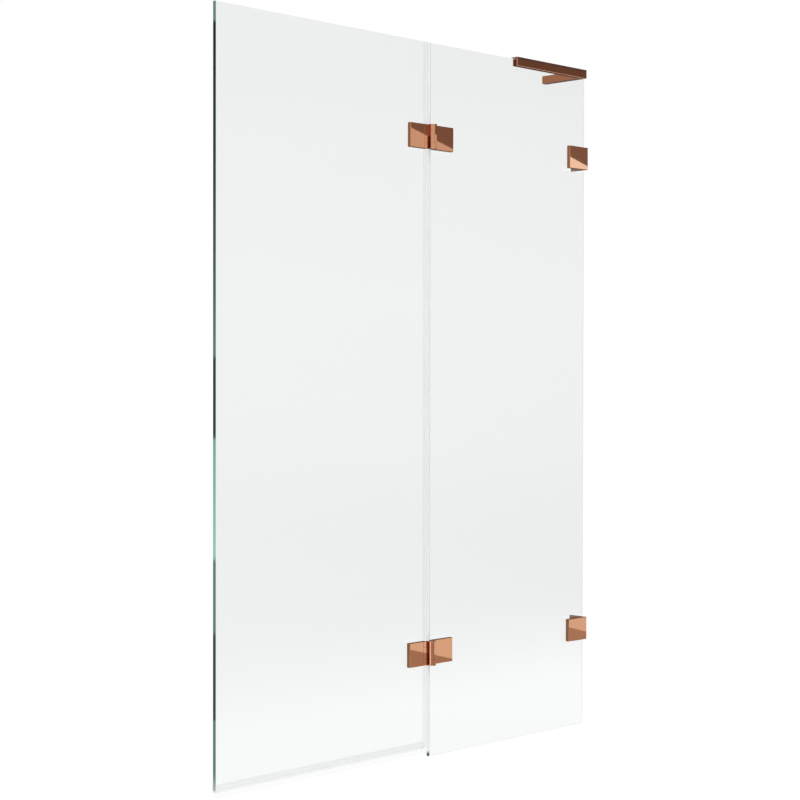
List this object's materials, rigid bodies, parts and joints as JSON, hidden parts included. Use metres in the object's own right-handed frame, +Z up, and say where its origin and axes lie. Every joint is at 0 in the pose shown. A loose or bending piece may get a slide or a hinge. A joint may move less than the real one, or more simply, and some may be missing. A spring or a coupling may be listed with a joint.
{
  "type": "bath screen",
  "caption": "Frameless bath screen: a fixed glass pane clamped to the wall and a glass door hinged to it, with copper fittings, a top stabiliser and clear seals.",
  "frame": {"origin": "middle of the fixed pane's bottom edge, at half its thickness, on the bath rim", "axes": "+X along the panes towards the wall, +Y to the bath side of the glass, +Z up; the door opens towards -Y"},
  "size_m": [1.1, 0.145, 1.505],
  "materials": {
    "clear_glass": "clear toughened glass with polished green edges",
    "polished_copper": "polished copper plating on solid brass",
    "seal_vinyl": "translucent clear vinyl extrusion",
    "gasket_vinyl": "clear soft vinyl sheet",
    "white_nylon": "natural nylon",
    "stainless_steel": "plain stainless steel"
  },
  "bodies": {
    "fixed_side": {"fixed_glass": "clear_glass", "lower_clamp_bolts": "stainless_steel", "lower_clamp_front_gasket": "gasket_vinyl", "lower_clamp_plate": "polished_copper", "lower_clamp_rear_gasket": "gasket_vinyl", "lower_clamp_sleeves": "white_nylon", "lower_hinge_fixed_cones": "white_nylon", "lower_hinge_fixed_gasket": "gasket_vinyl", "lower_hinge_fixed_leaf": "polished_copper", "lower_hinge_fixed_screws": "stainless_steel", "lower_hinge_pin": "stainless_steel", "lower_hinge_pin_caps": "polished_copper", "lower_wall_bracket": "polished_copper", "stabiliser_corner_screw": "stainless_steel", "stabiliser_grub_screws": "stainless_steel", "stabiliser_liner": "gasket_vinyl", "stabiliser_lock_screws": "stainless_steel", "stabiliser_rail": "polished_copper", "stabiliser_wall_arm": "polished_copper", "stabiliser_wall_cleat": "stainless_steel", "upper_clamp_bolts": "stainless_steel", "upper_clamp_front_gasket": "gasket_vinyl", "upper_clamp_plate": "polished_copper", "upper_clamp_rear_gasket": "gasket_vinyl", "upper_clamp_sleeves": "white_nylon", "upper_hinge_fixed_cones": "white_nylon", "upper_hinge_fixed_gasket": "gasket_vinyl", "upper_hinge_fixed_leaf": "polished_copper", "upper_hinge_fixed_screws": "stainless_steel", "upper_hinge_pin": "stainless_steel", "upper_hinge_pin_caps": "polished_copper", "upper_wall_bracket": "polished_copper"},
    "door": {"door_bottom_seal": "seal_vinyl", "door_glass": "clear_glass", "hinge_seal_bottom": "seal_vinyl", "hinge_seal_middle": "seal_vinyl", "hinge_seal_top": "seal_vinyl", "lower_hinge_bushes": "white_nylon", "lower_hinge_door_cones": "white_nylon", "lower_hinge_door_gasket": "gasket_vinyl", "lower_hinge_door_leaf": "polished_copper", "lower_hinge_door_screws": "stainless_steel", "upper_hinge_bushes": "white_nylon", "upper_hinge_door_cones": "white_nylon", "upper_hinge_door_gasket": "gasket_vinyl", "upper_hinge_door_leaf": "polished_copper", "upper_hinge_door_screws": "stainless_steel"}
  },
  "joints": [
    {"name": "door_swing", "type": "hinge", "parent": "fixed_side", "child": "door", "pos_m": [-0.267, -0.02, 0.7605], "axis": [0, 0, 1], "range_deg": [0, 150]}
  ]
}
